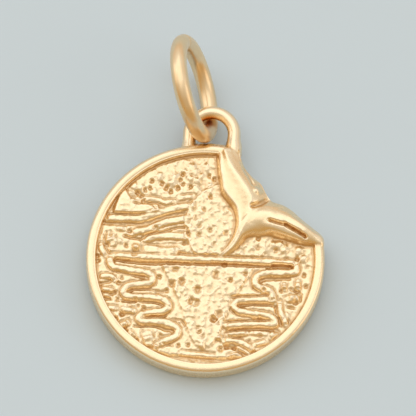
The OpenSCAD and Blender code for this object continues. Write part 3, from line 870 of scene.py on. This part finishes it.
def gold_finish():
    material, graph, shader = new_material("cast_gold")
    place = graph.node("ShaderNodeTexCoord", output="Object")
    hollow = graph.node("ShaderNodeAttribute", {"attribute_name": "hollow"}, output="Fac")
    cloudy, fine = graph.noise(place, 420.0, 2.0), graph.noise(place, 5200.0, 3.0)
    grit = graph.noise(place, 21000.0, 2.0)
    # Painted shade: the hollower a spot is, the more it takes the darker, browner gold.
    hollow_shade = graph.fade(hollow + (fine - 0.5) * 0.012, 0.0, 0.034)
    rubbed = 1 - graph.fade(hollow + (fine - 0.5) * 0.01, -0.03, 0.0)
    tone = graph.mix(hollow_shade, MAIN_GOLD, HOLLOW_SHADE_GOLD)
    tone = graph.mix(rubbed, tone, BRIGHT_GOLD)
    tone = graph.mix(cloudy * 0.22, tone, ROSY_GOLD)
    # Painted shade where ring and loop shade each other.
    tone = with_painted_shade(graph, tone, place)
    rough = 0.27 + hollow_shade * 0.1 + (fine - 0.5) * 0.12 + (cloudy - 0.5) * 0.06 - rubbed * 0.03
    inputs = {"Strength": 0.35, "Distance": 0.012 * MM, "Height": fine * 0.7 + grit * 0.3}
    bump = graph.node("ShaderNodeBump", None, inputs)
    graph.feed(shader, {"Base Color": tone, "Roughness": rough, "Normal": bump, "Metallic": 1.0})
    return material


cast_gold = gold_finish()
bake(blank, relief_tree(), {**guides, **sizes, "Finish": cast_gold})

# Medallion: cast loop
# A round bar is bent in an arch and cast on at the top of the disc, with feet that spread
# a little into the rim and a low web of metal between them. Loop and disc are one solid.

BAR_R = 0.29
LOOP_R = 1.0
LOOP_Y = 5.96
LOOP_H = 0.6
FOOT_Y = 4.98
WEB_Y = 5.14
WEB_H = 0.5
# Painted shade on the lower side wall, added to its hollowness.
WALL_SHADE = 0.004
arch_turn = np.radians(np.arange(0, 181, 5.0))
arch = [(LOOP_R * math.cos(a), LOOP_Y + LOOP_R * math.sin(a)) for a in arch_turn]
leg = [(LOOP_R, y) for y in np.arange(FOOT_Y, LOOP_Y, 0.08)]
loop_path = leg + arch + [(-x, y) for x, y in reversed(leg)]
loop = linked_line("loop", [(x, y, LOOP_H) for x, y in loop_path])
web_path = [(x, WEB_Y - x * x * 0.12, WEB_H) for x in np.arange(-0.8, 0.85, 0.1)]
web = linked_line("foot_web", web_path)


def loop_tree():
    """Turns a line into a round bar, thicker towards its feet."""
    graph, given = new_tree("cast_loop", ("Bar radius",), ())
    bar = graph.node("GeometryNodeMeshToCurve", None, {0: given["Geometry"]})
    spot = graph.node("GeometryNodeInputPosition")
    right = graph.fade(spot.part("X"), 0.4, 0.8)
    spread = 1 - graph.fade(spot.part("Y") - right * 0.25, FOOT_Y + 0.1, FOOT_Y + 0.85)
    swell = graph.noise(spot, 1.3, 2.0) - 0.5
    round_bar = graph.node("GeometryNodeCurvePrimitiveCircle", None,
                           {"Resolution": 28, "Radius": given["Bar radius"]})
    inputs = {"Curve": bar, "Profile Curve": round_bar, "Fill Caps": True,
              "Scale": 1 + spread * spread * 0.3 + swell * 0.05}
    bar = graph.node("GeometryNodeCurveToMesh", None, inputs)
    close_tree(graph, bar, given["Finish"])
    return graph.tree


bar_tree = loop_tree()
for bar in (loop, web):
    bake(bar, bar_tree, {"Bar radius": BAR_R, "Finish": cast_gold})


def joining_tree():
    """Joins loop and web to the disc, and measures how hollow the surface is at each point."""
    graph, given = new_tree("join_and_measure", (), ("Loop", "Web"))
    union = graph.node("GeometryNodeMeshBoolean", {"operation": "UNION", "solver": "MANIFOLD"})
    for part in (given["Geometry"], shape_of(graph, given["Loop"]), shape_of(graph, given["Web"])):
        graph.feed(union.socket.node, {1: part})
    spot = graph.node("GeometryNodeInputPosition")
    settings = {"data_type": "FLOAT_VECTOR"}
    settled = graph.node("GeometryNodeBlurAttribute", settings, {"Value": spot, "Iterations": 10})
    up = graph.node("GeometryNodeInputNormal")
    hollow = graph.vector("DOT_PRODUCT", graph.vector("SUBTRACT", settled, spot), up).also("Value")
    # The lower part of the side wall counts as a little hollow, which paints shade on it near the card.
    on_wall = 1 - graph.fade(up.part("Z").math("ABSOLUTE"), 0.2, 0.6)
    hollow = hollow + on_wall * (1 - graph.fade(spot.part("Z"), 0.62, 0.88)) * WALL_SHADE
    inputs = {"Geometry": union, "Name": "hollow", "Value": hollow}
    shape = graph.node("GeometryNodeStoreNamedAttribute", {"data_type": "FLOAT"}, inputs)
    close_tree(graph, shape, given["Finish"])
    return graph.tree


bake(blank, joining_tree(), {"Loop": loop, "Web": web, "Finish": cast_gold})
for helper in [loop, web, *guides.values()]:
    bpy.data.objects.remove(helper)
blank.data.transform(laid)
medallion = blank
medallion.name = "cast_medallion"
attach(medallion, "root")
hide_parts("medallion")

# Jump ring
# Round brass wire, drawn, wound into a ring, cut square and closed so that its ends all but meet,
# then plated. It passes through the cast loop and leans on the card.

WIRE_R = 0.375
RING_R = 2.125
CUT_GAP = 0.05
RING_LEAN = math.radians(71)
RING_TURN = math.radians(10)
CUT_AT = math.radians(115)
RING_X = -0.9
NIP, NIP_LENGTH = 0.1, 0.06
WORN_WIRE = colour(0.86, 0.61, 0.33)
low, high = (Vector(corner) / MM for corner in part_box("jump_ring"))
ring_y = high.y - WIRE_R - RING_R * math.hypot(
    math.cos(RING_TURN), math.sin(RING_TURN) * math.cos(RING_LEAN))
ring_z = WIRE_R + RING_R * math.sin(RING_LEAN)


def ring_tree():
    """A round wire bent in a ring, its cut ends nipped a little thinner by the cutter."""
    graph, given = new_tree("bent_wire", ("Ring radius", "Wire radius", "Cut gap"), ())
    cut = given["Cut gap"] / given["Ring radius"]
    inputs = {"Resolution": 260, "Radius": given["Ring radius"], "Start Angle": cut / 2,
              "Sweep Angle": 2 * math.pi - cut}
    wire = graph.node("GeometryNodeCurveArc", {"mode": "RADIUS"}, inputs)
    along = graph.node("GeometryNodeSplineParameter", output="Factor")
    store = {"data_type": "FLOAT"}
    wire = graph.node("GeometryNodeStoreNamedAttribute", store,
                      {"Geometry": wire, "Name": "along", "Value": along})
    section = graph.node("GeometryNodeCurvePrimitiveCircle", None,
                         {"Resolution": 44, "Radius": given["Wire radius"]})
    section = graph.node("GeometryNodeStoreNamedAttribute", store,
                         {"Geometry": section, "Name": "round", "Value": along})
    from_end = along.math("MINIMUM", 1 - along) * (2 * math.pi * RING_R)
    nipped = 1 - (1 - (from_end / NIP_LENGTH).math("MINIMUM", 1.0)) * NIP
    inputs = {"Curve": wire, "Profile Curve": section, "Scale": nipped, "Fill Caps": True}
    wire = graph.node("GeometryNodeCurveToMesh", None, inputs)
    close_tree(graph, wire, given["Finish"])
    return graph.tree


def wire_finish():
    material, graph, shader = new_material("wire_gold")
    place = graph.node("ShaderNodeTexCoord", output="Object")
    along = graph.node("ShaderNodeAttribute", {"attribute_name": "along"}, output="Fac")
    around = graph.node("ShaderNodeAttribute", {"attribute_name": "round"}, output="Fac")
    drawn_at = graph.node("ShaderNodeCombineXYZ", None, {"X": around * 60, "Y": along * 4})
    drawn = graph.noise(drawn_at, 1.0, 2.0)
    worn = graph.noise(place, 1500.0, 3.0)
    tone = graph.mix(worn, BRIGHT_GOLD, WORN_WIRE)
    # Painted shade where ring and loop shade each other.
    tone = with_painted_shade(graph, tone, place)
    rough = 0.27 + (worn - 0.5) * 0.1 + drawn * 0.06
    inputs = {"Strength": 0.3, "Distance": 0.006 * MM, "Height": drawn}
    bump = graph.node("ShaderNodeBump", None, inputs)
    graph.feed(shader, {"Base Color": tone, "Roughness": rough, "Normal": bump, "Metallic": 1.0})
    return material


ring = linked_mesh("wire_jump_ring", [])
bake(ring, ring_tree(), {"Ring radius": RING_R, "Wire radius": WIRE_R, "Cut gap": CUT_GAP,
                         "Finish": wire_finish()})
lean = Matrix.Rotation(RING_LEAN, 4, "Y") @ Matrix.Rotation(CUT_AT, 4, "Z")
stand = Matrix.Translation((RING_X, ring_y, ring_z)) @ Matrix.Rotation(RING_TURN, 4, "Z") @ lean
ring.data.transform(Matrix.Scale(MM, 4) @ stand)
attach(ring, "root")
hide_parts("jump_ring")
